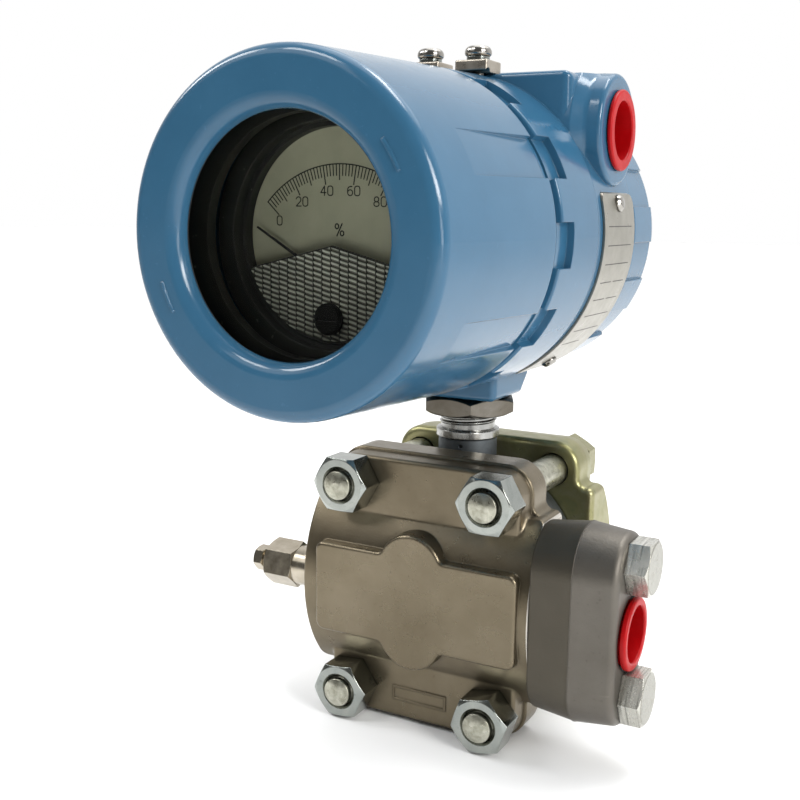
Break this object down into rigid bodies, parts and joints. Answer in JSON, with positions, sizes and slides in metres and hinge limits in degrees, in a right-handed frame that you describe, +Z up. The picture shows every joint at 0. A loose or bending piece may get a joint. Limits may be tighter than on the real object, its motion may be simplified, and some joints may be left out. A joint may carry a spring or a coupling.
{
  "type": "pressure transmitter",
  "caption": "Industrial pressure transmitter: painted round housing with an analogue percent meter, on a sensor clamped between bolted flanges with side adapter and vent valve.",
  "frame": {"origin": "middle of the bounding box on the plane that both flange feet stand on", "axes": "+Z up along the neck, -Y towards the meter window, +X towards the flange adapter and the plugged cable entry"},
  "size_m": [0.1448, 0.1598, 0.2196],
  "materials": {
    "housing_paint": "gloss enamel, steel blue",
    "cast_stainless": "satin cast, bead blasted",
    "machined_stainless": "turned satin",
    "yellow_zinc": "yellow passivated zinc",
    "bright_zinc": "bright zinc",
    "plate_steel": "satin sheet",
    "clamp_nickel": "dull nickel",
    "screw_chrome": "polished",
    "red_plastic": "moulded",
    "black_plastic": "moulded",
    "dial_face": "printed matt silver",
    "mask_silver": "textured silver",
    "pointer_black": "black paint",
    "window_glass": "polished",
    "seal_rubber": "matt",
    "board_green": "solder mask",
    "phenolic_brown": "moulded",
    "magnet_iron": "sintered",
    "coil_copper": "enamelled wire"
  },
  "bodies": {
    "sensor": {"sensor_module": "machined_stainless", "front_process_flange": "cast_stainless", "rear_blank_flange": "yellow_zinc", "process_o_rings": "seal_rubber", "flange_bolts": "bright_zinc", "flange_nuts": "bright_zinc", "flange_adapter": "cast_stainless", "adapter_o_ring": "seal_rubber", "adapter_bolts": "bright_zinc", "vent_valve_seat": "machined_stainless", "neck_lock_nut": "machined_stainless"},
    "vent_stem": {"vent_valve_stem": "machined_stainless"},
    "port_plug": {"adapter_plug": "red_plastic"},
    "housing": {"electronics_housing": "housing_paint", "nameplate": "plate_steel", "nameplate_screws": "screw_chrome", "earth_clamp_blocks": "clamp_nickel", "earth_clamp_washers": "bright_zinc", "earth_clamp_screws": "screw_chrome", "amplifier_board": "board_green", "calibration_board": "board_green", "board_standoffs": "machined_stainless", "board_spacers": "machined_stainless", "board_screws": "bright_zinc", "feedthrough": "machined_stainless", "terminal_block": "phenolic_brown", "terminal_screws": "screw_chrome", "terminal_block_screws": "bright_zinc", "meter_posts": "machined_stainless", "meter_case": "black_plastic", "meter_bezel": "black_plastic", "meter_dial": "dial_face", "movement_cover": "mask_silver", "meter_magnet": "magnet_iron"},
    "entry_plug": {"conduit_plug": "red_plastic"},
    "meter_pointer": {"pointer": "pointer_black", "pointer_coil": "coil_copper"},
    "zero_knob": {"zero_adjust_knob": "black_plastic"},
    "front_seal": {"front_cover_o_ring": "seal_rubber"},
    "front_cap": {"front_cover": "housing_paint", "window_gasket": "seal_rubber", "cover_glass": "window_glass", "glass_retaining_ring": "black_plastic"},
    "rear_seal": {"rear_cover_o_ring": "seal_rubber"},
    "rear_cap": {"rear_cover": "housing_paint"}
  },
  "joints": [
    {"name": "vent_stem_turn", "type": "hinge", "parent": "sensor", "child": "vent_stem", "pos_m": [-0.0662, 0.006, 0.0458], "axis": [-1, 0, 0], "range_deg": [0, 360]},
    {"name": "port_plug_pull", "type": "slide", "parent": "sensor", "child": "port_plug", "axis": [1, 0, 0], "range_m": [0, 0.02]},
    {"name": "housing_swivel", "type": "hinge", "parent": "sensor", "child": "housing", "pos_m": [-0.0032, 0.033, 0.1058], "axis": [0, 0, 1], "range_deg": [-90, 90]},
    {"name": "entry_plug_pull", "type": "slide", "parent": "housing", "child": "entry_plug", "axis": [1, 0, 0], "range_m": [0, 0.02]},
    {"name": "pointer_sweep", "type": "hinge", "parent": "housing", "child": "meter_pointer", "pos_m": [-0.0032, -0.051, 0.1498], "axis": [0, 1, 0], "range_deg": [0, 112], "stiffness_Nm_per_rad": 0.002, "springref_deg": -2.86},
    {"name": "zero_adjust", "type": "hinge", "parent": "housing", "child": "zero_knob", "pos_m": [-0.0032, -0.055, 0.1409], "axis": [0, 1, 0], "range_deg": [-20, 20]},
    {"name": "front_cover_travel", "type": "slide", "parent": "housing", "child": "front_seal", "axis": [0, -1, 0], "range_m": [0, 0.0145]},
    {"name": "front_cover_turn", "type": "hinge", "parent": "front_seal", "child": "front_cap", "pos_m": [-0.0032, -0.047, 0.1626], "axis": [0, -1, 0], "range_deg": [0, 2340]},
    {"name": "rear_cover_travel", "type": "slide", "parent": "housing", "child": "rear_seal", "axis": [0, 1, 0], "range_m": [0, 0.0068]},
    {"name": "rear_cover_turn", "type": "hinge", "parent": "rear_seal", "child": "rear_cap", "pos_m": [-0.0032, 0.068, 0.1626], "axis": [0, 1, 0], "range_deg": [0, 1080]}
  ],
  "couplings": [
    {"joint": "front_cover_travel", "follows": "front_cover_turn", "m_per_rad": 0.00033693},
    {"joint": "rear_cover_travel", "follows": "rear_cover_turn", "m_per_rad": 0.00033693}
  ]
}
